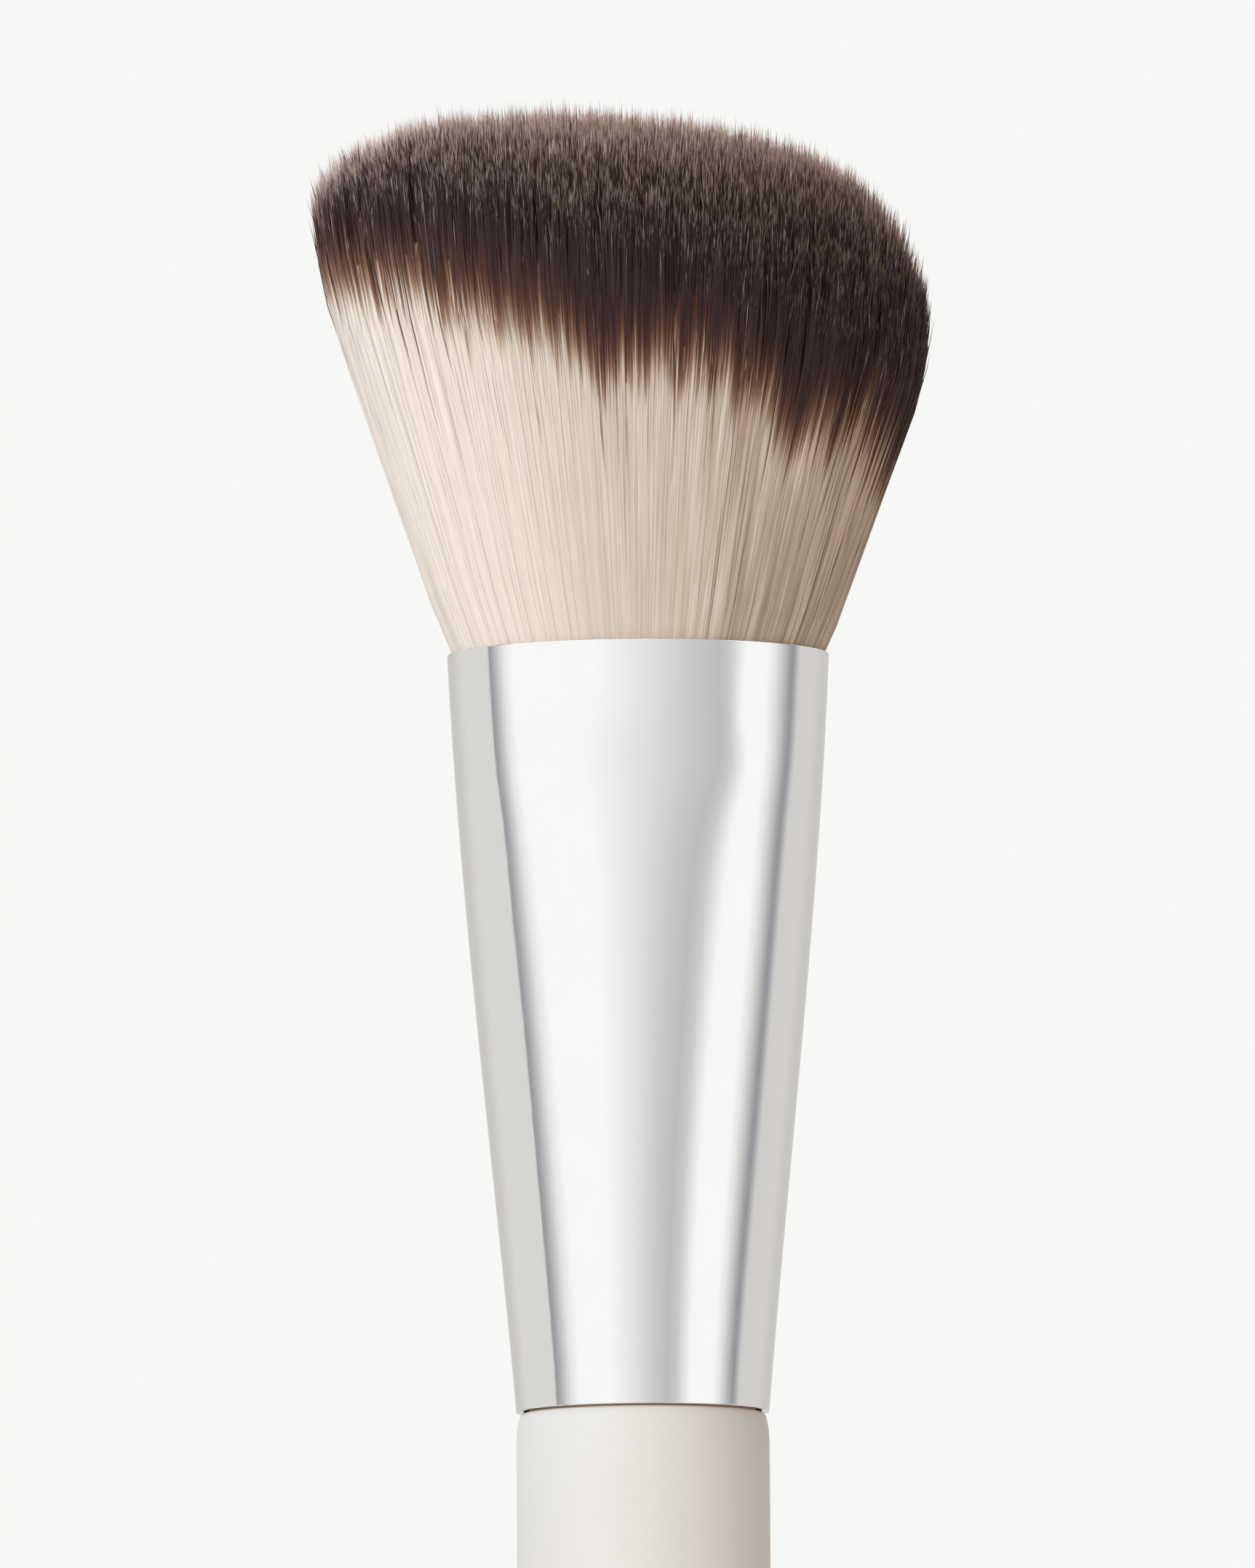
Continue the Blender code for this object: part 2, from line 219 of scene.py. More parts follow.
# %% Curved sheet of light
SHEET_RADIUS = 0.30
SHEET_COLUMNS = 97
SHEET_BOTTOM, SHEET_TOP = -1.50, 0.450
SHEET_ROWS = np.arange(0.076, 0.214, 0.002)  # heights between them
SOFTENED_OVER = np.linspace(-0.005, 0.005, 11)  # each row is a mean over these heights
SHEET_PLACES = (0.0, 0.1, 0.35, 0.6, 0.72, 0.88, 1.0)  # across the sheet's UV
SHEET_LEVELS = [  # height, then how many degrees round from the camera each place is
    (0.080, -80, -56, -29, 21, 42, 65, 86),
    (0.088, -81, -58, -27, 23, 43, 68, 87),
    (0.096, -83, -61, -26, 26, 46, 70, 90),
    (0.104, -83, -63, -26, 29, 49, 72, 92),
    (0.112, -85, -65, -26, 31, 52, 74, 93),
    (0.120, -87, -69, -27, 35, 56, 76, 94),
    (0.128, -88, -71, -28, 37, 58, 77, 96),
    (0.136, -89, -72, -29, 39, 60, 77, 97),
    (0.144, -91, -73, -30, 41, 63, 79, 99),
    (0.150, -92, -74, -31, 44, 65, 79, 100),
    (0.156, -91, -74, -32, 46, 67, 79, 99),
    (0.162, -91, -74, -34, 48, 65, 79, 98),
    (0.168, -90, -74, -36, 48, 62, 78, 97),
    (0.176, -89, -74, -34, 47, 60, 77, 98),
    (0.186, -89, -73, -31, 46, 60, 77, 99),
    (0.205, -89, -73, -24, 43, 59, 77, 99),
]
LEFT_REACH, RIGHT_REACH = 3, 8  # degrees that the edges lie outside the dark lines' middles
SHEET_LIGHT = [  # place across the UV, brightness on the metal
    (0.0, 142), (0.015, 160), (0.037, 192), (0.065, 227), (0.1, 247), (0.35, 247), (0.375, 243),
    (0.425, 232), (0.475, 220), (0.54, 201), (0.6, 187), (0.648, 201), (0.684, 226), (0.72, 247),
    (0.87, 247), (0.90, 228), (0.93, 194), (0.953, 160), (0.968, 144), (0.983, 172), (1.0, 204),
]
METAL_SHARE = 0.70
DARK_TINT, BRIGHT_TINT = (0.97, 1.0, 1.05), (1.0, 1.0, 0.985)
DARK_LEVEL, BRIGHT_LEVEL = 150, 190  # brightness up to which, and from which, each tint holds

table, shares = np.array(SHEET_LEVELS), np.linspace(0, 1, SHEET_COLUMNS)
places, faces = [], []
for height in (SHEET_BOTTOM, *SHEET_ROWS, SHEET_TOP):
    near = height + SOFTENED_OVER
    degrees = [float(np.mean(np.interp(near, table[:, 0], line))) for line in table.T[1:]]
    degrees = [degrees[0] - LEFT_REACH, *degrees[1:-1], degrees[-1] + RIGHT_REACH]
    for turn in np.radians(np.interp(shares, SHEET_PLACES, degrees)):
        x, y = SHEET_RADIUS * math.sin(turn), -SHEET_RADIUS * math.cos(turn)
        places.append((x, y, height))
for i in range(len(places) - SHEET_COLUMNS):
    if (i + 1) % SHEET_COLUMNS:  # the last column has none to its right
        faces.append((i, i + 1, i + 1 + SHEET_COLUMNS, i + SHEET_COLUMNS))
mesh = bpy.data.meshes.new("light_sheet")
mesh.from_pydata(places, [], faces)
across = mesh.uv_layers.new(name="across")
for loop in mesh.loops:
    across.uv[loop.index].vector = (shares[loop.vertex_index % SHEET_COLUMNS], 0.5)
sheet = add_object("light_sheet", mesh)
material, tree, _ = blank_material("sheet_light")
tree.nodes.clear()
uv_map = add(tree, "ShaderNodeUVMap", {"uv_map": "across"}).outputs["UV"]
stops = []
for where, brightness in SHEET_LIGHT:
    bright = min(max((brightness - DARK_LEVEL) / (BRIGHT_LEVEL - DARK_LEVEL), 0), 1)
    tint = [d + (b - d) * bright for d, b in zip(DARK_TINT, BRIGHT_TINT)]
    stops.append((where, (*[c * t for c, t in zip(seen(*[brightness] * 3), tint)], 1)))
colours = ramp(tree, axes(tree, uv_map)["X"], stops)
glow = add(tree, "ShaderNodeEmission", Color=colours, Strength=1 / METAL_SHARE)
add(tree, "ShaderNodeOutputMaterial", Surface=glow.outputs["Emission"])
mesh.materials.append(material)
sheet.visible_camera = sheet.visible_diffuse = False
sheet.visible_shadow = sheet.visible_transmission = False
print("a curved sheet of light with", len(SHEET_LEVELS), "levels")

# %% [markdown]
# ## Lamps and floor
# One large soft lamp stands to the left of the camera and gives the daylight side. A second one
# behind the brush lights its back for the other views. Two narrow beams, on the head and on the
# handle, cast no shadows, because strands' shadows would streak the cream. No lamp shows in a
# reflection. The warm, darker right side is the world's own colour.
# The floor is a pale disc that fades into the backdrop, so it has no edge to see. The metal
# doesn't mirror it.

# %% Lamps and floor
KEY_COLOUR = (0.74, 0.81, 0.80)
BACK_COLOUR = (0.85, 0.93, 1.0)
HEAD_BEAM_COLOUR = (0.62, 0.79, 1.0)
HANDLE_BEAM_COLOUR = (0.80, 0.835, 1.0)
HEAD_BEAM_REACH, HANDLE_BEAM_REACH = 0.050, 0.090  # how far from its aim a beam has faded out
SOFT_BEAM = {"spot_blend": 0.7, "shadow_soft_size": 0.03, "use_shadow": False}
FLOOR_RADIUS = 0.45
FLOOR_FADES_FROM, FLOOR_FADES_TO = 0.06, 0.40
MOUTH = Vector((0, 0, mouth_z))


def add_lamp(name, kind, degrees, elevation, distance, aim, **settings):
    """A lamp that looks at aim, from so many degrees round from the camera and up."""
    lamp = add_object(name, bpy.data.lights.new(name, kind))
    turn, rise = math.radians(degrees), math.radians(elevation)
    level = math.cos(rise)
    away = Vector((math.sin(turn) * level, -math.cos(turn) * level, math.sin(rise)))
    lamp.location = aim + away * distance
    lamp.rotation_mode = "QUATERNION"
    lamp.rotation_quaternion = away.to_track_quat("Z", "Y")
    lamp.visible_glossy = False
    for key, value in settings.items():
        setattr(lamp.data, key, value)


add_lamp("key_lamp", "AREA", -30, 18, 1.4, MOUTH, size=0.9, energy=8.6, color=KEY_COLOUR)
add_lamp("back_lamp", "AREA", 175, 40, 1.6, MOUTH, size=0.8, energy=10.0, color=BACK_COLOUR)
add_lamp(
    "head_beam", "SPOT", -62, 12, 1.0, MOUTH + Vector((-0.002, 0, 0.016)), energy=20.4,
    color=HEAD_BEAM_COLOUR, spot_size=2 * math.atan(HEAD_BEAM_REACH), **SOFT_BEAM,
)
add_lamp(
    "handle_beam", "SPOT", 15, 5, 1.0, Vector((0, 0, 0.045)), energy=7.9,
    color=HANDLE_BEAM_COLOUR, spot_size=2 * math.atan(HANDLE_BEAM_REACH), **SOFT_BEAM,
)

bpy.ops.mesh.primitive_circle_add(vertices=96, radius=FLOOR_RADIUS, fill_type="NGON")
floor = bpy.context.object
floor.name = "floor"
pale = seen(240, 240, 238)
material, tree, shader = blank_material("pale_floor", Base_Color=pale, Roughness=0.9)
measure = {"operation": "LENGTH"}
away = add(tree, "ShaderNodeVectorMath", measure, _0=own_place(tree)).outputs["Value"]
fade = map_range(tree, away, FLOOR_FADES_FROM, FLOOR_FADES_TO, smooth=True)
ray = add(tree, "ShaderNodeLightPath").outputs
share = math_node(tree, "MULTIPLY", fade, ray["Is Camera Ray"])
matt = shader.outputs["BSDF"]
white = add(tree, "ShaderNodeEmission", Color=BACKDROP).outputs["Emission"]
blend = add(tree, "ShaderNodeMixShader", _0=share, _1=matt, _2=white).outputs["Shader"]
tree.links.new(blend, tree.nodes["Material Output"].inputs["Surface"])
floor.data.materials.append(material)
floor.visible_glossy = False

# %% [markdown]
# ## Turned and drawn pieces
# A handle is turned on a lathe and a ferrule is drawn from a tube, so both are rings, one above
# another. By hand one adds a circle, extrudes it upwards and scales each new ring. The helper
# does just that, with a list of rings: their height, half width and half depth.

# %% Rings drawn upwards
def draw_up(name, rings, sides, filled):
    """A tube or a closed turned piece through rings of (height, half width, half depth)."""
    height, half_width, half_depth = rings[0]
    bpy.ops.mesh.primitive_circle_add(
        vertices=sides, radius=1, location=(0, 0, height),
        fill_type="NGON" if filled else "NOTHING",
    )
    piece = bpy.context.object
    piece.name = piece.data.name = name
    bpy.ops.object.transform_apply(location=True)
    bpy.ops.object.mode_set(mode="EDIT")
    bpy.ops.mesh.select_all(action="SELECT")
    bpy.ops.transform.resize(value=(half_width, half_depth, 1), center_override=(0, 0, height))
    for upper in rings[1:]:
        rise = {"value": (0, 0, upper[0] - height)}
        bpy.ops.mesh.extrude_region_move(TRANSFORM_OT_translate=rise)
        scale = (upper[1] / half_width, upper[2] / half_depth, 1)
        bpy.ops.transform.resize(value=scale, center_override=(0, 0, upper[0]))
        height, half_width, half_depth = upper
    bpy.ops.mesh.select_all(action="SELECT")
    bpy.ops.mesh.normals_make_consistent(inside=False)
    bpy.ops.object.mode_set(mode="OBJECT")
    return piece


def finish_piece(piece, node_names, material):
    """Applies what is left, gives it its finish, attaches it, and hides the nodes that it stands
    in for.
    """
    bpy.context.view_layer.objects.active = piece
    for modifier in piece.modifiers[:]:
        bpy.ops.object.modifier_apply(modifier=modifier.name)
    piece.data.materials.append(material)
    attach(piece, BODY)
    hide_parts(*node_names)
    piece.data.calc_loop_triangles()
    print(f"{piece.name}: {len(piece.data.loop_triangles)} triangles")


# %% [markdown]
# ## Lacquer, and the mottle that other finishes share
# Sprayed matt lacquer is never quite even: its tone drifts a little over some millimetres, and
# its skin has a fine orange peel. The resin and the glue in the ferrule are cloudy in the same
# way, only more so. So the effect is one node group, with its scale and strength as inputs.
# The lacquer ends at the handle's shoulder. Above it the wood is bare, and a thin line of it shows
# in the seam under the ferrule.

# %% Mottle group
FINE_TO_COARSE = 9.0  # how much finer the grain is than the cloud
GRAIN_SHARE = 0.4
MOTTLE_SOCKETS = [
    ("Colour", "INPUT", "Color"), ("Scale", "INPUT", "Float"), ("Variation", "INPUT", "Float"),
    ("Colour", "OUTPUT", "Color"), ("Height", "OUTPUT", "Float"),
]


def make_mottle():
    group = bpy.data.node_groups.new("mottle", "ShaderNodeTree")
    for name, way, kind in MOTTLE_SOCKETS:
        group.interface.new_socket(name, in_out=way, socket_type="NodeSocket" + kind)
    given = group.nodes.new("NodeGroupInput").outputs
    place = own_place(group)
    cloud = add(group, "ShaderNodeTexNoise", Vector=place, Scale=given["Scale"], Detail=3.0)
    fine_scale = math_node(group, "MULTIPLY", given["Scale"], FINE_TO_COARSE)
    grain = add(group, "ShaderNodeTexNoise", Vector=place, Scale=fine_scale, Detail=2.0)
    drift = math_node(group, "SUBTRACT", cloud.outputs["Fac"], 0.5)
    speck = math_node(group, "SUBTRACT", grain.outputs["Fac"], 0.5)
    tone = math_node(group, "ADD", drift, math_node(group, "MULTIPLY", speck, GRAIN_SHARE))
    factor = math_node(group, "MULTIPLY_ADD", tone, given["Variation"], 1.0)
    scale_it = {"operation": "SCALE"}
    tinted = add(group, "ShaderNodeVectorMath", scale_it, _0=given["Colour"], Scale=factor)
    result = group.nodes.new("NodeGroupOutput")
    group.links.new(tinted.outputs["Vector"], result.inputs["Colour"])
    group.links.new(grain.outputs["Fac"], result.inputs["Height"])
    return group


mottle = make_mottle()
UNEVEN_GLOSS = 0.05
SHOULDER_TOP = 0.0961
LACQUER_ENDS, WOOD_BARE_FROM = SHOULDER_TOP - 0.00010, SHOULDER_TOP - 0.00002
BARE_WOOD = seen(226, 194, 164)


def use_mottle(tree, colour, scale, variation):
    inputs = {"Colour": colour, "Scale": scale, "Variation": variation}
    return add(tree, "ShaderNodeGroup", {"node_tree": mottle}, **inputs).outputs


def roughen(tree, shader, height, distance):
    bump = add(tree, "ShaderNodeBump", Height=height, Distance=distance)
    tree.links.new(bump.outputs["Normal"], shader.inputs["Normal"])


def mottled_material(name, colour, scale, variation, roughness, peel):
    """A cloudy, slightly uneven coat. peel: how deep the skin's unevenness is."""
    material, tree, shader = blank_material(name, Roughness=roughness)
    out = use_mottle(tree, colour, scale, variation)
    tree.links.new(out["Colour"], shader.inputs["Base Color"])
    low, high = roughness - UNEVEN_GLOSS, roughness + UNEVEN_GLOSS
    tree.links.new(map_range(tree, out["Height"], 0.3, 0.7, low, high), shader.inputs["Roughness"])
    roughen(tree, shader, out["Height"], peel)
    return material


lacquer = mottled_material(
    "matt_lacquer", seen(233, 230, 225), scale=260.0, variation=0.05, roughness=0.5, peel=0.000012
)
tree = lacquer.node_tree
shader = tree.nodes["Principled BSDF"]
bare = map_range(tree, axes(tree, own_place(tree))["Z"], LACQUER_ENDS, WOOD_BARE_FROM)
coat = shader.inputs["Base Color"].links[0].from_socket
tree.links.new(mix_colours(tree, bare, coat, BARE_WOOD), shader.inputs["Base Color"])
print("lacquer ready, with the mottle group in", mottle.users, "material")

# %% [markdown]
# ## Handle
# Beech or birch, turned, filled and sprayed. Its top edge is drawn in by a third of a millimetre
# in a soft shoulder, and from there it runs straight for a while, then narrows a little to the
# butt, whose edge is rounded and whose end is flat. The profile has some forty rings, close
# together where it turns. The tenon inside the ferrule is part of the same turning.

# %% Make the handle
SHOULDER_INSET, SHOULDER_DROP = 0.00035, 0.0017
BUTT_HALF = 0.0061
BUTT_EDGE = 0.0011
STRAIGHT = 0.034
EVEN_BELOW_SHOULDER = 0.012  # a ring here keeps the shading of the straight length even
TENON_HALF, TENON_STEP_HALF = 0.00597, 0.00547
TENON_CHAMFER = 0.0008
TENON_STEP_Z, TENON_TOP_Z = foot_z + 0.003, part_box("handle")[1].z
SEAM_WIDTH, SEAM_RISES = 0.0001, (0.00002, 0.00010)  # where the shoulder meets the tenon
STEP_RISE = 0.00001
BUTT_STEPS, TAPER_STEPS, SHOULDER_STEPS = 6, 16, 8
HANDLE_SIDES = 128
HANDLE_SHARP = math.radians(40)


def handle_rings():
    rings = []
    for i in range(BUTT_STEPS + 1):
        turn = math.pi / 2 * i / BUTT_STEPS
        half = BUTT_HALF - BUTT_EDGE * (1 - math.sin(turn))
        rings.append((BUTT_EDGE * (1 - math.cos(turn)), half))
    low, high = BUTT_EDGE, SHOULDER_TOP - STRAIGHT
    for i in range(1, TAPER_STEPS + 1):
        share = i / TAPER_STEPS
        half = BUTT_HALF + (handle_half - BUTT_HALF) * (1 - math.cos(math.pi * share)) / 2
        rings.append((low + (high - low) * share, half))
    rings.append((SHOULDER_TOP - SHOULDER_DROP - EVEN_BELOW_SHOULDER, handle_half))
    for i in range(SHOULDER_STEPS + 1):
        turn = math.pi / 2 * i / SHOULDER_STEPS
        up = SHOULDER_DROP * (math.sin(turn) - 1)
        rings.append((SHOULDER_TOP + up, handle_half - SHOULDER_INSET * (1 - math.cos(turn))))
    rings.append((SHOULDER_TOP + SEAM_RISES[0], TENON_HALF + SEAM_WIDTH))
    rings.append((SHOULDER_TOP + SEAM_RISES[1], TENON_HALF))
    rings += [(TENON_STEP_Z, TENON_HALF), (TENON_STEP_Z + STEP_RISE, TENON_STEP_HALF)]
    rings.append((TENON_TOP_Z - TENON_CHAMFER, TENON_STEP_HALF))
    rings.append((TENON_TOP_Z, TENON_STEP_HALF - TENON_CHAMFER))
    return [(height, half, half) for height, half in rings]


handle = draw_up("lacquered_handle", handle_rings(), HANDLE_SIDES, filled=True)
handle.data.shade_smooth()
handle.data.set_sharp_from_angle(angle=HANDLE_SHARP)
finish_piece(handle, ["handle"], lacquer)

# %% [markdown]
# ## Bright metal
# The tube is polished and clear coated. Polishing leaves a trace of lines along its length, too
# faint to count but enough to soften each reflection a little. The metal takes its tone from
# what stands round it, so its own colour is only the share of the light that it gives back.

# %% Metal
METAL = (METAL_SHARE, METAL_SHARE, METAL_SHARE * 1.003, 1)
LINE_STRETCH, LINE_SCALE, LINE_DEPTH = 0.02, 9000.0, 0.0000004
LEAST_ROUGH, MOST_ROUGH = 0.055, 0.095
metal, tree, shader = blank_material("bright_metal", Metallic=1.0, Roughness=0.07)
along = (1, 1, LINE_STRETCH)
long = add(tree, "ShaderNodeMapping", Vector=own_place(tree), Scale=along).outputs["Vector"]
lines = add(tree, "ShaderNodeTexNoise", Vector=long, Scale=LINE_SCALE, Detail=2.0).outputs["Fac"]
haze = use_mottle(tree, METAL, scale=420.0, variation=0.025)
tree.links.new(haze["Colour"], shader.inputs["Base Color"])
gloss = map_range(tree, lines, 0.35, 0.65, LEAST_ROUGH, MOST_ROUGH)
tree.links.new(gloss, shader.inputs["Roughness"])
roughen(tree, shader, lines, LINE_DEPTH)
print("metal ready, rough by", LEAST_ROUGH, "to", MOST_ROUGH)

# %% [markdown]
# ## Ferrule
# A seamless tube, round where it takes the tenon. It opens towards the head a little ahead of a
# straight cone, and its last 6.6 millimetres are pressed onto the filaments from front and back,
# which leaves a soft step there.
# All rings are ellipses, closer together at the step, and the lowest is let down a little. Then
# the wall gets its thickness, inwards, and the rims a small bevel.

# %% Ferrule
WALL = 0.0004
RIM_BEVEL = 0.00005
SWELL = 0.48
MOUTH_HALF_DEPTH = 0.0084
PRESSED_BY = 0.00055
PRESSED_LENGTH = 0.0066
PRESS_ROUNDING = 0.0006
FOOT_DROP = 0.00014
FERRULE_LENGTH = mouth_z - foot_z
FERRULE_SIDES, FERRULE_BANDS = 160, 40
STEP_BANDS, STEP_BAND = 8, 0.00025  # finer bands on each side of the step
FERRULE_SHARP = math.radians(14)


def flare(share):
    return share + SWELL * share * share * (1 - share)


def soft_least(a, b, rounding):
    """The lesser of two numbers, with a rounded change from one to the other."""
    blend = np.clip((1 + (b - a) / rounding) / 2, 0, 1)
    return b + (a - b) * blend - rounding * blend * (1 - blend)


def ferrule_outside(height):
    """Half the width and half the depth at a height over the foot."""
    half_width = handle_half + (mouth_half_width - handle_half) * flare(height / FERRULE_LENGTH)
    deepest = MOUTH_HALF_DEPTH + PRESSED_BY
    press_start = flare(1 - PRESSED_LENGTH / FERRULE_LENGTH)
    opening = handle_half + (deepest - handle_half) * flare(height / FERRULE_LENGTH) / press_start
    from_mouth = (FERRULE_LENGTH - height) / PRESSED_LENGTH
    pressed = MOUTH_HALF_DEPTH + PRESSED_BY * from_mouth
    return half_width, soft_least(opening, pressed, PRESS_ROUNDING)


def ferrule_heights():
    coarse = [FERRULE_LENGTH * i / FERRULE_BANDS for i in range(FERRULE_BANDS + 1)]
    step = FERRULE_LENGTH - PRESSED_LENGTH
    fine = [step + STEP_BAND * i for i in range(-STEP_BANDS, STEP_BANDS + 1)]
    return sorted(set(coarse + fine))


rings = [(foot_z + height, *ferrule_outside(height)) for height in ferrule_heights()]
ferrule = draw_up("bright_ferrule", rings, FERRULE_SIDES, filled=False)
for vert in ferrule.data.vertices:
    if vert.co.z < foot_z + STEP_RISE:
        vert.co.z -= FOOT_DROP
wall = ferrule.modifiers.new("wall", "SOLIDIFY")
wall.thickness = WALL
wall.offset = -1
wall.use_even_offset = True
rim = ferrule.modifiers.new("rims", "BEVEL")
rim.width = RIM_BEVEL
rim.segments = 3
rim.limit_method = "ANGLE"
finish_piece(ferrule, ["ferrule"], metal)
ferrule.data.shade_smooth()
ferrule.data.set_sharp_from_angle(angle=FERRULE_SHARP)

# %% [markdown]
# ## Filament
# The real filament is a tapered synthetic, cream, dyed near black for the last half centimetre.
# The dye creeps up each one by its own amount, which makes the ragged edge. Where it creeps far
# it thins out. It wears off the very tip, and some ends are paler for some millimetres: partly
# wear, and partly painted light from above and from the left, with whole pale ends as painted
# glints.
# Each strand carries a UV map that says all of this: its column is the strand's kind, one of
# 256, with 32 amounts of dye and 8 tones, and its height is the distance below the tip.

# %% Filament colours
LONGEST = 0.032
DYE_LEVELS, TONES = 32, 8
SHIFT_LOW, SHIFT_HIGH, SHIFT_POWER = -0.0030, 0.0060, 1.3
DYE_SPAN = 0.010
PLAIN_SHIFT = 0.0023  # past this the dye thins out on its way down
THINS_FROM, THINS_TO, MOST_THINNED = 0.0070, 0.0030, 0.8
UNDYED_FROM, UNDYED_TO = 0.0060, 0.0078
# Paler ends stand for some wear and for painted light from above and the left; the last tone's
# whole paler end is a painted glint
WEAR_AND_LIGHT_LENGTH, WHOLE_END_GLINT, WEAR_AND_LIGHT_SHARE, WEAR_AND_LIGHT_POWER = 0.0045, 0.0110, 0.75, 1.6
LAST_TONE = (0.9, 0.95)  # only the last tone is past these, and its whole end is paler, a painted glint
DYE_STOPS = [  # mm below the tip, where the dye is not shifted
    (0.0, (53, 35, 35)), (1.6, (49, 31, 34)), (2.6, (52, 29, 30)), (3.4, (68, 38, 32)),
    (4.2, (84, 51, 40)), (5.0, (120, 81, 61)), (5.7, (158, 122, 98)), (6.5, (206, 180, 158)),
    (7.5, (236, 218, 203)),
]
CREAMS = [(236, 214, 196), (238, 218, 200), (240, 220, 203), (242, 223, 207)]
PALE_TIP = (224, 190, 174)
# The paler ends' colour: wear, painted light and painted glints
WORN_AND_GLINT_COLOUR = (128, 97, 88)
SHORT_PALE, LONG_PALE = 0.0006, 0.0018

filament, tree, shader = blank_material("filament", Roughness=0.38, Specular_IOR_Level=0.22)
calc = partial(math_node, tree)
uv_map = add(tree, "ShaderNodeUVMap", {"uv_map": "OFBake"}).outputs["UV"]
uv = axes(tree, uv_map)
column = calc("FLOOR", calc("MULTIPLY", uv["X"], DYE_LEVELS * TONES))
level = calc("FLOOR", calc("DIVIDE", column, TONES))
tone = calc("DIVIDE", calc("MODULO", column, TONES), TONES - 1)
below_tip = calc("MULTIPLY", uv["Y"], LONGEST)
amount = calc("POWER", calc("DIVIDE", level, DYE_LEVELS - 1), SHIFT_POWER)
shift = map_range(tree, amount, 0.0, 1.0, SHIFT_LOW, SHIFT_HIGH)
unshifted = calc("SUBTRACT", below_tip, shift)
excess = calc("MAXIMUM", calc("SUBTRACT", shift, PLAIN_SHIFT), 0.0)
thinning = map_range(tree, unshifted, THINS_FROM, THINS_TO, 0.0, MOST_THINNED)
faded = calc("ADD", unshifted, calc("MULTIPLY", excess, thinning))
dye_place = map_range(tree, faded, 0.0, DYE_SPAN)
dyed = ramp(tree, dye_place, [(mm * MM / DYE_SPAN, seen(*c)) for mm, c in DYE_STOPS])
# Paler ends: some wear, painted light from above and the left, and whole ends as painted glints
wear_and_glint_length = map_range(tree, tone, *LAST_TONE, WEAR_AND_LIGHT_LENGTH, WHOLE_END_GLINT)
wear_and_glint = map_range(tree, calc("DIVIDE", below_tip, wear_and_glint_length), 1.0, 0.0)
wear_and_glint = calc("MULTIPLY", calc("POWER", tone, WEAR_AND_LIGHT_POWER), wear_and_glint)
wear_and_painted_light = mix_colours(tree, calc("MULTIPLY", wear_and_glint, WEAR_AND_LIGHT_SHARE), dyed, seen(*WORN_AND_GLINT_COLOUR))
chance = calc("FRACT", calc("MULTIPLY", column, (math.sqrt(5) - 1) / 2))
cream = ramp(tree, chance, [(i / (len(CREAMS) - 1), seen(*c)) for i, c in enumerate(CREAMS)])
undyed = map_range(tree, unshifted, UNDYED_FROM, UNDYED_TO, smooth=True)
coloured = mix_colours(tree, undyed, wear_and_painted_light, cream)
# Higher tones have longer pale tips, so these also follow the painted light in the tones
pale_length = map_range(tree, calc("POWER", tone, 2.0), 0.0, 1.0, SHORT_PALE, LONG_PALE)
paler = map_range(tree, calc("DIVIDE", below_tip, pale_length), 1.0, 0.1, smooth=True)
coloured = mix_colours(tree, paler, coloured, seen(*PALE_TIP))
tree.links.new(coloured, shader.inputs["Base Color"])
print(DYE_LEVELS * TONES, "kinds of filament")


def dye_level_of(shift):
    amount = np.clip((shift - SHIFT_LOW) / (SHIFT_HIGH - SHIFT_LOW), 0, 1) ** (1 / SHIFT_POWER)
    return np.rint(amount * (DYE_LEVELS - 1)).astype(int)


# %% [markdown]
# ## The head's form
# The filaments fill the mouth and fan out from it in straight lines, up to a height where they
# open more slowly. The head is then cut to a dome on a slant, tall at the left. Each filament is
# known by its place in a disc: the disc's edge is the outside of the head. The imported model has
# the same form in plainer lines. Here the bundle fills the bore right up to its wall, springs out
# over the rim, and has its sides, its knee and its rim as the photograph shows them.

# %% The fan and the dome
FREE_OF_WALL = 0.00008
MOUTH_FILL_WIDTH = mouth_half_width - WALL - FREE_OF_WALL
MOUTH_FILL_DEPTH = MOUTH_HALF_DEPTH - WALL - FREE_OF_WALL
KNEE_ROUNDING = 0.0006
LEFT_KNEE, RIGHT_KNEE, DEPTH_KNEE = 0.0184, 0.0146, 0.0170
SPRING_OUT, SPRING_HEIGHT = 0.00032, 0.0004
SPREAD_LEFT, SPREAD_RIGHT, SPREAD_DEPTH = 0.343, 0.368, 0.205
LEFT_CROWN_SPREAD, RIGHT_CROWN_SPREAD, CROWN_SPREAD_DEPTH = 0.16, 0.08, 0.101
TALL_RIM, SHORT_RIM = 0.0241, 0.0165
DOME, DOME_LEAN, DOME_SWELL = 0.00865, 0.19, (0.06, 0.33)
RIM = [  # share of the half width, mm over the mouth of the front and back edge's tips
    (-1.0, 24.3), (-0.9, 24.8), (-0.8, 24.8), (-0.66, 24.7), (-0.5, 24.1), (-0.3, 22.9),
    (-0.1, 22.0), (0.1, 21.3), (0.3, 20.4), (0.5, 18.9), (0.7, 17.4), (0.85, 16.7), (1.0, 16.5),
]


def read(curve, at):
    """A curve's value at a place, between the pairs that it is written down in."""
    return np.interp(at, *zip(*curve))


def fan(height, at_mouth, spread, knee, crown_spread):
    free = SPRING_OUT * (1 - np.exp(-np.maximum(height, 0) / SPRING_HEIGHT))
    straight = at_mouth + free + spread * height
    eased = at_mouth + free + spread * knee + crown_spread * (height - knee)
    return soft_least(straight, eased, KNEE_ROUNDING)


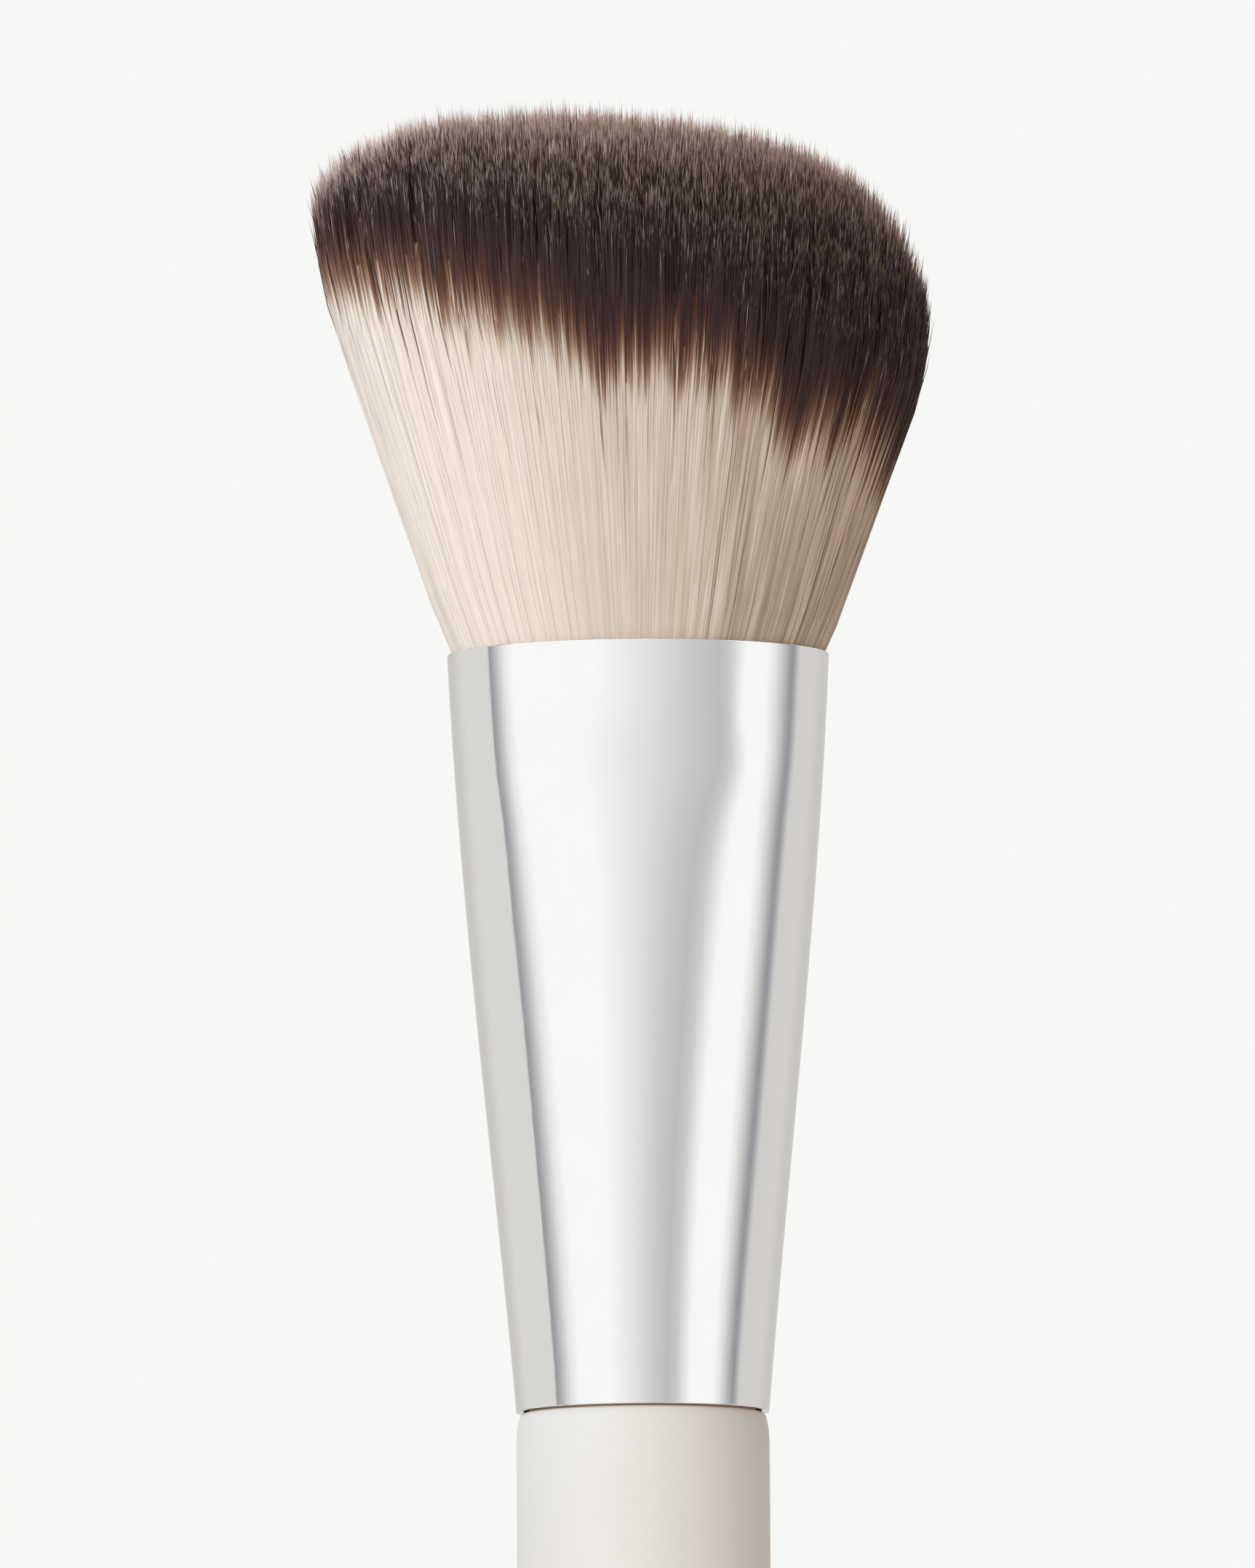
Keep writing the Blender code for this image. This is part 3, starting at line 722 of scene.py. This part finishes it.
def fan_width(height, u):
    right = (1 + u) / 2
    knee = LEFT_KNEE + (RIGHT_KNEE - LEFT_KNEE) * right
    crown_spread = LEFT_CROWN_SPREAD + (RIGHT_CROWN_SPREAD - LEFT_CROWN_SPREAD) * right
    spread = SPREAD_LEFT + (SPREAD_RIGHT - SPREAD_LEFT) * right
    return fan(height, MOUTH_FILL_WIDTH, spread, knee, crown_spread)


def fan_depth(height):
    return fan(height, MOUTH_FILL_DEPTH, SPREAD_DEPTH, DEPTH_KNEE, CROWN_SPREAD_DEPTH)


def crown_share(u, v):
    """1 on the ridge over the middle, and in an arc down to 0 at the edge."""
    return np.sqrt(np.maximum(1 - v * v / np.maximum(1 - u * u, 1e-6), 0))


def tip_height(u, v):
    """The dome: from the ridge over the middle, an arc down to the edge in front and behind."""
    slant = (SHORT_RIM + TALL_RIM + (SHORT_RIM - TALL_RIM) * u) / 2
    right = np.maximum(u, 0)
    lean = 1 + DOME_LEAN * u + DOME_SWELL[0] * right + DOME_SWELL[1] * right**2
    ridge = slant + DOME * lean * np.sqrt(np.maximum(1 - u * u, 1e-6))
    edge = np.minimum(MM * read(RIM, u), ridge)
    return edge + (ridge - edge) * crown_share(u, v)


print(f"the dome's highest tip is {tip_height(0.0, 0.0) / MM:.1f} mm over the mouth")

# %% [markdown]
# ## Where each filament stands and how it leans
# Real filaments are not on a grid. They lean on each other in small tufts, and each bends a
# little of its own. So the places come from a sunflower pattern, which is even, with some
# scatter. Tufts come from cells of about half a millimetre, each with a random middle, and a
# filament is drawn towards the nearest middle, more at its tip than at its root.
# The outermost filaments stand in one closed, even layer. Light that fell between them would
# draw broad streaks, which the real head doesn't have.

# %% Scatter and tufts
rng = np.random.default_rng(7)
INNER_STRANDS, OUTER_STRANDS = 30000, 9000
STRANDS = INNER_STRANDS + OUTER_STRANDS
GOLDEN = math.pi * (3 - math.sqrt(5))
INNER_REACH, OUTER_REACH, OUTER_PAST = 0.970, 0.955, 1.012
SCATTER = 0.8  # as a share of the way from one place to the next
CELLS = 256  # the cells' pattern repeats after so many
WISP, TUFT, LOCK, WIDE = 0.00024, 0.00050, 0.0015, 0.0042  # sizes of the cells


def scatter_ring(count, from_share, to_share):
    """Places spread evenly between two shares of the disc, with some scatter."""
    number, band = (np.arange(count) + 0.5) / count, to_share**2 - from_share**2
    radius = np.sqrt(from_share**2 + band * number)
    turn = np.arange(count) * GOLDEN
    spread = SCATTER * math.sqrt(band / count)
    u = radius * np.cos(turn) + rng.normal(0, spread, count)
    v = radius * np.sin(turn) + rng.normal(0, spread, count)
    past = np.maximum(np.hypot(u, v) / min(to_share, 1), 1)
    return u / past, v / past


def nearest_middle(x, y, size, seed):
    """For each place, its cell's random middle, and a number for the cell."""
    table = np.random.default_rng(seed).random((CELLS, CELLS, 3))
    i, j = np.floor(x / size).astype(int), np.floor(y / size).astype(int)
    best = np.full(len(x), 1e9)
    middle = np.zeros((len(x), 2))
    number = np.zeros(len(x))
    for di in (-1, 0, 1):
        for dj in (-1, 0, 1):
            a, b, c = table[(i + di) % CELLS, (j + dj) % CELLS].T
            mx, my = (i + di + a) * size, (j + dj + b) * size
            gap = np.hypot(x - mx, y - my)
            near = gap < best
            best[near] = gap[near]
            middle[near] = np.stack([mx, my], 1)[near]
            number[near] = c[near]
    return middle, number


inner_places = scatter_ring(INNER_STRANDS, 0, INNER_REACH)
outer_places = scatter_ring(OUTER_STRANDS, OUTER_REACH, OUTER_PAST)
u, v = (np.concatenate(pair) for pair in zip(inner_places, outer_places))
tip = tip_height(u, v)
x_tip, y_tip = u * fan_width(tip, u), v * fan_depth(tip)
tuft_middle, tuft_number = nearest_middle(x_tip, y_tip, TUFT, 11)
lock_number = nearest_middle(x_tip, y_tip, LOCK, 12)[1]
wide_number = nearest_middle(x_tip, y_tip, WIDE, 13)[1]
wisp_number = nearest_middle(x_tip, y_tip, WISP, 14)[1]
print(f"{STRANDS} filaments, {len(np.unique(tuft_number))} small tufts")

# %% [markdown]
# ## Lengths, bends and dye
# The cut is clean but not exact, so lengths differ by a few tenths of a millimetre. The dye's
# edge wanders: over some millimetres together, in small tufts, and by single filaments, a few of
# which are dark for millimetres more. The dyed ends are shorter at the head's tall side, and the
# dye reaches far down at the short side's very edge, a dark band down that outline.
# Low on the head's sides some wisps are short and paler, partly as painted glints, and towards
# the crown and the left more ends are paler: some wear, and painted light from above and the left.

# %% Lengths, bends and dye
DIPPED = [  # share of the half width, mm that the dye reaches further
    (-1.0, -1.8), (-0.9, -0.6), (-0.75, -0.7), (-0.6, 0.2), (-0.45, 0.9), (-0.34, 0.5),
    (-0.24, 1.0), (-0.14, 1.9), (0.0, 0.9), (0.15, 0.35), (0.3, 0.0), (0.45, 0.5),
    (0.6, 1.5), (0.7, 0.3), (0.78, 0.0), (0.84, -1.2), (0.9, -1.3), (0.955, 0.0), (1.0, 1.9),
]
PAINTED_CROWN_LIGHT_FROM = [  # share of the half width, how far up the crown the paler ends of painted top light begin
    (-1.0, 0.1), (-0.8, 0.44), (-0.5, 0.62), (-0.25, 0.06), (0.0, 0.20), (0.35, 0.28),
    (0.7, 0.60), (1.0, 0.76),
]
SHORT_WISPS, LOW_ON_CROWN = 0.22, 0.45
SPIN, RESHUFFLE = 977, 577  # turn a cell's number into another that looks unlike it
STANDS_OUT = 0.0015  # how far one strand of the closed layer stands over the next
EVEN_STEPS = 0.7548776662  # multiples of this share fill a span evenly
STREAKED, STRAY = 0.05, 0.05  # shares of the filaments
DARK_WISP = 0.93  # wisps with a higher chance are dyed a millimetre further
WANDER_RIGHT, WANDER_RIGHT_FROM = 0.7, 0.4  # the dye's edge is more ragged at the short side


def any_way(number):
    return np.stack([np.cos(number * SPIN), np.sin(number * SPIN)], 1)


# Each spread below is in metres, for one strand, tuft, wisp, lock or wide cell
length_change = rng.normal(0, 0.00015, STRANDS) - np.abs(rng.normal(0, 0.00040, STRANDS))
length_change += 0.0004 * (tuft_number - 0.5) + 0.0009 * (wisp_number - 0.5) - 0.00022
crown = crown_share(u, v)
wisp_chance = (wisp_number * RESHUFFLE) % 1
short_wisp = (wisp_chance < SHORT_WISPS) & (crown < LOW_ON_CROWN)
length_change -= short_wisp * (0.0004 + 0.0080 * (SHORT_WISPS - wisp_chance))
tip = tip + length_change
bend = rng.normal(0, 0.00010, (STRANDS, 2))
lean = any_way(tuft_number) * 0.00014 + any_way(lock_number) * 0.00006
curl = rng.normal(0, 0.00015, (STRANDS, 2))
wave = rng.normal(0, 0.000030, (STRANDS, 2))
wave_turn = rng.random(STRANDS) * math.tau
wander = 0.0005 * (wide_number - 0.5) + 0.0004 * (lock_number - 0.5)
wander += 0.0007 * (tuft_number - 0.5) + 0.0014 * (wisp_chance - 0.5)
wander_more = 1 + WANDER_RIGHT * np.clip((u - WANDER_RIGHT_FROM) / 0.4, 0, 1)
dye_shift = MM * read(DIPPED, u)
dye_shift += wander_more * (wander + rng.normal(0, 0.00030, STRANDS))
streaked = rng.random(STRANDS) < STREAKED
dye_shift[streaked] += rng.exponential(0.0012, streaked.sum())
dye_shift[wisp_chance > DARK_WISP] += MM
stray = (rng.random(STRANDS) < STRAY) & (np.abs(u) > 0.9)
stands_out = STANDS_OUT * (np.arange(STRANDS) * EVEN_STEPS % 1)
facing_up = read(PAINTED_CROWN_LIGHT_FROM, u)
# Paler ends, counted in tones: by the place on the crown and by side, painted light from above
# and the left; by wisp and strand, wear; and whole ends, painted glints
wear_and_painted_light = 4.2 * np.clip((crown - facing_up) / (1 - facing_up), 0, 1) ** 1.1
wear_and_painted_light += 1.3 * (wisp_number - 0.5) + 0.3 - 0.35 * u + 0.8 * rng.standard_normal(STRANDS)
wear_and_painted_light += 4.5 * (rng.random(STRANDS) < 0.07 - 0.04 * u) + 2.0 * short_wisp
uv_column = dye_level_of(dye_shift) * TONES + np.clip(np.rint(wear_and_painted_light), 0, TONES - 1).astype(int)
print(f"dye shifts from {dye_shift.min() / MM:.1f} to {dye_shift.max() / MM:.1f} mm")

# %% [markdown]
# ## Strands as thin three-sided tubes
# A hair system would be lighter to draw but wouldn't leave this program as a mesh. So each
# filament is a three-sided tube of a few rings that ends in a point, and all of them are made at
# once as arrays of numbers. Only the outer ones are seen in full. Those further in show just
# their ends, so they begin inside a solid core and have fewer rings.
# Fine filaments look like one soft surface, so below its tip a strand's normals turn from its
# own to the bundle's. Small turns by tuft and wisp, which change along the height, are the fine
# streaks, and turns that change across the head are its broad soft bands.

# %% Strand mesh
STRAND_RADIUS = 0.000042
TIP_SHARE = 0.14
TAPER_LENGTH = 0.0045
OUTER_STEPS = np.array([1.0, 0.80, 0.60, 0.42, 0.27, 0.15, 0.06])
INNER_STEPS = np.array([1.0, 0.52, 0.26, 0.09])
OUTER_START = -0.0020
INNER_LENGTH = 0.0085
CURL_LENGTH = 0.0035
FOOT_UV_DEPTH = 0.00032  # the foot's face lies over this much of the UV map's height
FREE_LENGTH = 0.018  # a strand is held straight further below its tip
TUFT_PULL, PULL_POWER = 0.32, 2.4
WAVE_LENGTH, WAVY_FROM = 0.0016, 0.004
STRAY_OUT = 0.02
TUFT_TURN, WISP_TURN = 0.08, 0.17
TUFT_STREAK, WISP_STREAK = 0.0040, 0.0026  # the streaks' wavelengths, by one radian
TURN_SHARE = [(-1.0, 0.10), (-0.3, 0.2), (0.1, 0.5), (0.5, 1.9), (1.0, 1.9)]
FACE_TURN = [
    (-1.0, 0.0), (-0.35, 0.02), (-0.18, 0.12), (-0.05, 0.09), (0.13, -0.06), (0.3, -0.06),
    (0.42, 0.08), (0.55, 0.10), (0.65, -0.01), (0.8, -0.07), (1.0, -0.07),
]
FACE_TURN_HEIGHT = 0.010  # at the right, these turns are full from this height up
SOFT_AT_TIP, SOFT_BELOW, SOFT_FROM = 0.2, 0.95, 0.006


def strand_centres(which, height, below):
    """Where strands are at these heights, with their tufts, bends and leans."""
    su, sv, at_tip = u[which, None], v[which, None], tip[which, None]
    width, depth = fan_width(height, su), fan_depth(height)
    freedom = np.clip(1 - below / FREE_LENGTH, 0, 1)
    pull = TUFT_PULL * freedom**PULL_POWER
    pull_x = pull * (tuft_middle[which, 0, None] - x_tip[which, None])
    pull_y = pull * (tuft_middle[which, 1, None] - y_tip[which, None])
    x = su * width + pull_x * (width / fan_width(at_tip, su))
    y = sv * depth + pull_y * (depth / fan_depth(at_tip))
    ease = np.clip(height / WAVY_FROM, 0, 1)
    ripple = np.sin(height / WAVE_LENGTH + wave_turn[which, None]) * ease
    curled = np.clip(1 - below / CURL_LENGTH, 0, 1) ** 2
    sways = ((bend + lean, freedom**2), (wave, ripple), (curl, curled))
    sway = sum(way[which, None] * share[..., None] for way, share in sways)
    return trim(which, x + sway[:, :, 0], y + sway[:, :, 1], height)


def trim(which, x, y, height):
    """Keeps the bundle's outside smooth: no strand leans far out of it."""
    reach = np.hypot(x / fan_width(height, u[which, None]), y / fan_depth(height))
    limit = (1 + stands_out + STRAY_OUT * stray)[which, None]
    scale = np.minimum(1, limit / np.maximum(reach, 1e-6))
    return x * scale, y * scale


def streaks(number, height, length):
    return np.sin(math.tau * number + height / length)


def unit(vectors):
    return vectors / np.maximum(np.linalg.norm(vectors, axis=-1, keepdims=True), 1e-6)


def soft_normals(which, x, y, height, below, own):
    """What the strands' shading faces: less and less themselves, and more the bundle's outside."""
    su = u[which, None]
    half_width, half_depth = fan_width(height, su), fan_depth(height)
    reach = np.clip((x / half_width) ** 2 + (y / half_depth) ** 2, 0, 1)
    side = unit(np.stack([x / half_width**2, y / half_depth**2], -1))
    along = np.stack([-side[..., 1], side[..., 0]], -1)
    turned = TUFT_TURN * streaks(tuft_number[which, None], height, TUFT_STREAK)
    turned = turned + WISP_TURN * streaks(wisp_number[which, None], height, WISP_STREAK)
    at_foot = 1 - np.clip(height / FACE_TURN_HEIGHT, 0, 1)
    kept = 1 - at_foot * np.clip((su - 0.1) / 0.3, 0, 1)
    turned = turned * read(TURN_SHARE, su) + kept * read(FACE_TURN, su)
    side = side + along * turned[:, :, None]
    up = 1 - reach * (1 + SPREAD_RIGHT)
    outside = unit(np.concatenate([side * reach[..., None], up[..., None]], -1))
    softened = SOFT_AT_TIP + (SOFT_BELOW - SOFT_AT_TIP) * np.clip(below / SOFT_FROM, 0, 1)
    return unit(own * (1 - softened)[:, :, None] + outside * softened[:, :, None])


def strand_mesh(name, which, start, steps):
    """which: the strands' numbers. start: their lowest heights over the mouth."""
    n, rings = len(which), len(steps)
    length = tip[which] - start
    below = length[:, None] * steps[None, :]
    height = tip[which, None] - below
    x, y = strand_centres(which, height, below)
    top_x, top_y = strand_centres(which, tip[which, None], np.zeros((n, 1)))
    taper = np.clip(below / TAPER_LENGTH, 0, 1)
    radius = STRAND_RADIUS * (TIP_SHARE + (1 - TIP_SHARE) * taper * (2 - taper))
    first_turn = rng.random(n)[:, None] * math.tau
    verts = np.empty((n, rings * 3 + 1, 3))
    normals = np.zeros((n, rings * 3 + 1, 3))
    for side in range(3):
        turn = first_turn + math.tau * side / 3
        own = np.stack([np.cos(turn), np.sin(turn), np.zeros_like(turn)], -1)
        middle = np.stack([x, y, mouth_z + height], -1)
        verts[:, side:-1:3] = middle + radius[..., None] * own
        normals[:, side:-1:3] = soft_normals(which, x, y, height, below, own)
    verts[:, -1] = np.stack([top_x[:, 0], top_y[:, 0], mouth_z + tip[which]], 1)
    normals[:, -1] = unit(normals[:, -4:-1].mean(axis=1) + (0, 0, 0.5))
    faces = []  # each corner: its vertex, how far across the column, its row of depths
    for ring in range(rings):
        for side in range(3):
            a, b = ring * 3 + side, ring * 3 + (side + 1) % 3
            face = [(a, 0, ring), (b, 1, ring)]
            if ring < rings - 1:
                face += [(b + 3, 1, ring + 1), (a + 3, 0, ring + 1)]
            else:
                face.append((rings * 3, 0.5, rings))
            faces.append(face)
    faces.append([(2, 0, 0), (1, 1, 0), (0, 1, rings + 1)])
    vertex, across, row = np.array([corner for face in faces for corner in face]).T
    first_vertex = np.arange(n)[:, None] * (rings * 3 + 1)
    corners = (vertex.astype(int) + first_vertex).ravel()
    depths = np.concatenate([below, np.zeros((n, 1)), below[:, :1] - FOOT_UV_DEPTH], 1)
    uv_u = (uv_column[which, None] + 0.1 + 0.8 * across) / (DYE_LEVELS * TONES)
    uv_v = depths[:, row.astype(int)] / LONGEST
    sizes = np.tile([len(face) for face in faces], n)
    mesh = bpy.data.meshes.new(name)
    mesh.vertices.add(n * (rings * 3 + 1))
    mesh.vertices.foreach_set("co", verts.ravel())
    mesh.loops.add(len(corners))
    mesh.loops.foreach_set("vertex_index", corners.astype(np.int32))
    mesh.polygons.add(len(sizes))
    starts = np.concatenate([[0], np.cumsum(sizes)[:-1]])
    mesh.polygons.foreach_set("loop_start", starts.astype(np.int32))
    mesh.update(calc_edges=True)
    layer = mesh.uv_layers.new(name="OFBake")
    layer.uv.foreach_set("vector", np.stack([uv_u, uv_v], 2).astype(np.float32).ravel())
    mesh.validate()
    mesh.shade_smooth()
    mesh.normals_split_custom_set_from_vertices(normals.reshape(-1, 3))
    return add_object(name, mesh)


# %% [markdown]
# ## Growing the head
# Each group of strands is a piece of its own, small enough to leave as one mesh file.

# %% Grow the strands
LAYERS = [  # name, from and up to which strand, how many pieces, a strand's rings
    ("outer", INNER_STRANDS, STRANDS, 2, OUTER_STEPS), ("inner", 0, INNER_STRANDS, 4, INNER_STEPS)
]
lowest = np.where(np.arange(STRANDS) < INNER_STRANDS, tip - INNER_LENGTH, OUTER_START)
for layer, first, last, pieces, steps in LAYERS:
    for number in range(pieces):
        which = np.arange(first + number, last, pieces)
        piece = strand_mesh(f"filaments_{layer}_{number + 1}", which, lowest[which], steps)
        finish_piece(piece, ["tuft"], filament)

# %% [markdown]
# ## The core
# Between the strands one looks into the depth of the bundle. A solid core stands for it: it
# fills the fan a little under the surface, and carries the same UV map, so that it is dark
# under the dyed ends and cream further down.

# %% Core
CORE_SHARE, CORE_FOOT_SHARE, CORE_FOOT_HEIGHT = 0.992, 0.978, 0.004
CORE_DEPTH = 0.0046
CORE_FOOT = -0.0034
CORE_SIDES = 360
CORE_SIDE_RINGS = 10
CORE_RAGGED = 0.3  # mm, up to twice which the dye's edge wanders round the core
CORE_TOP = [0.985, 0.94, 0.86, 0.76, 0.64, 0.52, 0.40, 0.28, 0.17, 0.08]


def core_place(ring, turn, radius):
    """Where a vertex of the core goes, and how far it is below the tips."""
    cu, cv = radius * math.cos(turn), radius * math.sin(turn)
    top = float(tip_height(cu, cv))
    height = top - CORE_DEPTH
    if ring < CORE_SIDE_RINGS:
        height = CORE_FOOT + (height - CORE_FOOT) * ring / CORE_SIDE_RINGS
    up = min(max(height / CORE_FOOT_HEIGHT, 0), 1)
    share = CORE_FOOT_SHARE + (CORE_SHARE - CORE_FOOT_SHARE) * up
    place = (share * cu * fan_width(height, cu), share * cv * fan_depth(height), mouth_z + height)
    return [float(c) for c in place], top - height


rings = [(ring, 1, 1) for ring in range(CORE_SIDE_RINGS + 1)]
rings += [(len(rings) + i, radius, radius) for i, radius in enumerate(CORE_TOP)]
core = draw_up("filament_core", rings, CORE_SIDES, filled=True)
bpy.ops.object.mode_set(mode="EDIT")
bpy.ops.mesh.select_all(action="DESELECT")
bpy.ops.mesh.select_non_manifold()
bpy.ops.mesh.edge_face_add()
bpy.ops.mesh.poke()
bpy.ops.mesh.select_all(action="SELECT")
bpy.ops.mesh.normals_make_consistent(inside=False)
bpy.ops.object.mode_set(mode="OBJECT")
depths = []
for vert in core.data.vertices:
    turn, radius = math.atan2(vert.co.y, vert.co.x), min(math.hypot(vert.co.x, vert.co.y), 1)
    vert.co, depth = core_place(round(vert.co.z), turn, radius)
    depths.append(depth)
layer = core.data.uv_layers.new(name="OFBake")
for face in core.data.polygons:
    middle = face.center
    sector = int((math.atan2(middle.y, middle.x) / math.tau % 1) * CORE_SIDES)
    across = min(max(middle.x / float(fan_width(middle.z - mouth_z, 0.0)), -1), 1)
    ragged = CORE_RAGGED * (sector * 7 % 5 - 2)
    column = int(dye_level_of(MM * (read(DIPPED, across) + ragged))) * TONES
    for number, loop in enumerate(face.loop_indices):
        share = 0.1 + 0.8 * (number % 2)
        depth = depths[core.data.loops[loop].vertex_index]
        layer.uv[loop].vector = ((column + share) / (DYE_LEVELS * TONES), depth / LONGEST)
core.data.shade_smooth()
finish_piece(core, ["tuft"], filament)

# %% [markdown]
# ## Pieces inside the ferrule
# The set resin that grips the filaments' ends, the thread that tied them and the glue round the
# tenon can't be seen, but the brush would fall apart without them. Their solids are right as
# they are, so they keep them and get their finishes.

# %% Hidden pieces
THREAD_PITCH, THREAD_DEPTH = 0.00033, 0.00005
THREAD_GROOVE_SHADE, THREAD_LIGHT = seen(188, 180, 160), seen(228, 222, 208)

resin = mottled_material(
    "potting_resin", seen(176, 150, 104), scale=900.0, variation=0.35, roughness=0.4, peel=0.00003
)
glue = mottled_material(
    "adhesive", seen(196, 178, 132), scale=700.0, variation=0.2, roughness=0.35, peel=0.00002
)
thread, tree, shader = blank_material("waxed_thread", Roughness=0.8)
# The turns are painted darker in the hollows between them: painted shade, on the same wave as the
# bump
turns = math_node(tree, "MULTIPLY", axes(tree, own_place(tree))["Z"], math.tau / THREAD_PITCH)
turns = math_node(tree, "SINE", turns)
groove_shaded = map_range(tree, turns, -1.0, 1.0)
groove_shaded = ramp(tree, groove_shaded, [(0, THREAD_GROOVE_SHADE), (1, THREAD_LIGHT)])
tree.links.new(groove_shaded, shader.inputs["Base Color"])
roughen(tree, shader, turns, THREAD_DEPTH)
for name, material in (("potted_root", resin), ("tenon_glue", glue), ("binding_thread", thread)):
    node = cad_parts[name]
    node.data.materials.clear()
    node.data.materials.append(material)
    print(name, "wears", material.name)
